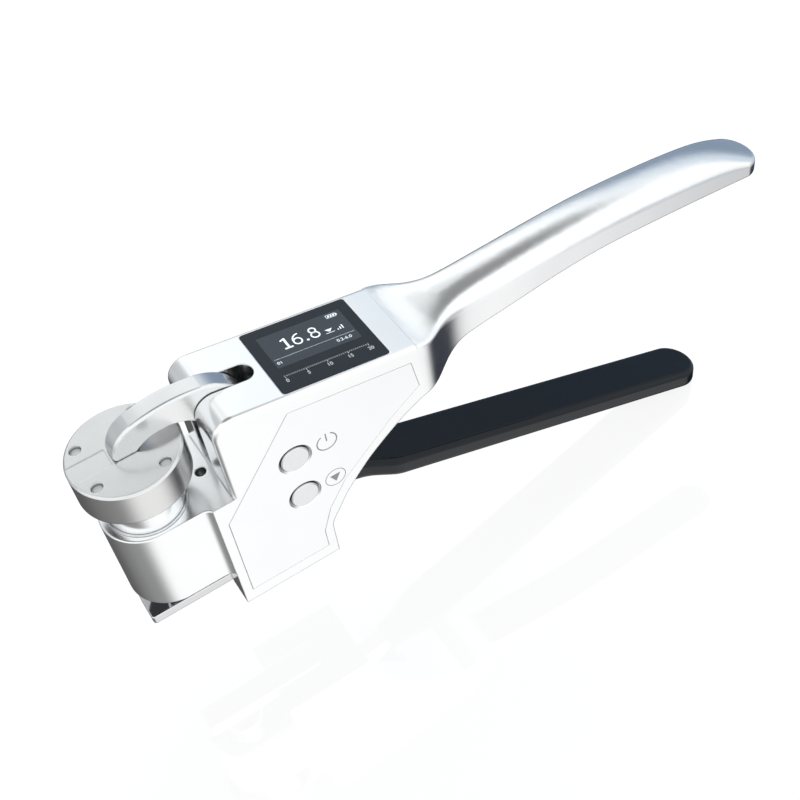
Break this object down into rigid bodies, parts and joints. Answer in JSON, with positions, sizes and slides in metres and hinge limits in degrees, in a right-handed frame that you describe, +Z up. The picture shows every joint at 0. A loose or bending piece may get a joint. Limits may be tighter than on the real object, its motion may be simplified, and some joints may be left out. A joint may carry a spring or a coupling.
{
  "type": "hardness tester",
  "caption": "Hand-held pliers hardness tester: squeezing the grip drives a spring-loaded needle down onto a flat jaw; display on top.",
  "frame": {"origin": "middle of the anvil's working face, on the axis of the penetrator", "axes": "+Z up along the penetrator axis, +X from the penetrator to the ends of the handles, +Y to the plain side; the buttons are on the -Y side"},
  "size_m": [0.2367, 0.0328, 0.1202],
  "materials": {
    "frame": "satin machined",
    "side_cover": "satin machined",
    "buttons": "satin, turned",
    "jaw": "polished",
    "hard_steel": "ground",
    "screws": "satin",
    "guide_bush": "turned",
    "plunger": "satin nickel",
    "cap": "satin nickel",
    "cap_pins": "satin",
    "spindle": "ground",
    "magnet": "plated",
    "springs": "drawn wire",
    "brass": "turned",
    "boards": "coated board",
    "lever": "satin nickel",
    "grip": "glossy black",
    "display_glass": "glossy black",
    "display_module": "glossy",
    "ribbon": "satin",
    "switches": "satin",
    "battery": "foil"
  },
  "bodies": {
    "body": {"frame": "frame", "jaw": "jaw", "anvil": "hard_steel", "jaw_screws": "screws", "guide_bush": "guide_bush", "pivot_screw": "screws", "return_spring": "springs", "display_window": "display_glass", "display_module": "display_module", "display_ribbon": "ribbon", "side_cover": "side_cover", "switches": "switches", "circuit_board": "boards", "board_screws": "screws", "battery": "battery"},
    "lever_arm": {"lever": "lever", "pivot_bush": "brass", "grip": "grip"},
    "plunger_unit": {"plunger": "plunger", "cap": "cap", "cap_pins": "cap_pins", "load_adjuster": "brass", "load_spring": "springs", "sensor_board": "boards"},
    "penetrator": {"spindle": "spindle", "needle": "hard_steel", "magnet": "magnet"},
    "power_button": {"button_power": "buttons"},
    "select_button": {"button_select": "buttons"}
  },
  "joints": [
    {"name": "lever_pivot", "type": "hinge", "parent": "body", "child": "lever_arm", "pos_m": [0.038, 0, 0.024], "axis": [0, -1, 0], "range_deg": [0, 7.9]},
    {"name": "plunger_slide", "type": "slide", "parent": "body", "child": "plunger_unit", "axis": [0, 0, -1], "range_m": [0, 0.006], "stiffness_N_per_m": 500, "springref_m": -0.01, "deforming": ["return_spring"]},
    {"name": "needle_slide", "type": "slide", "parent": "plunger_unit", "child": "penetrator", "axis": [0, 0, 1], "range_m": [0, 0.00055], "stiffness_N_per_m": 100, "springref_m": -0.001, "deforming": ["load_spring"]},
    {"name": "power_push", "type": "slide", "parent": "body", "child": "power_button", "axis": [0, 1, 0], "range_m": [0, 0.0005], "stiffness_N_per_m": 50, "springref_m": -0.0003},
    {"name": "select_push", "type": "slide", "parent": "body", "child": "select_button", "axis": [0, 1, 0], "range_m": [0, 0.0005], "stiffness_N_per_m": 50, "springref_m": -0.0003}
  ],
  "couplings": [
    {"joint": "plunger_slide", "follows": "lever_pivot", "m_per_rad": 0.0435}
  ]
}
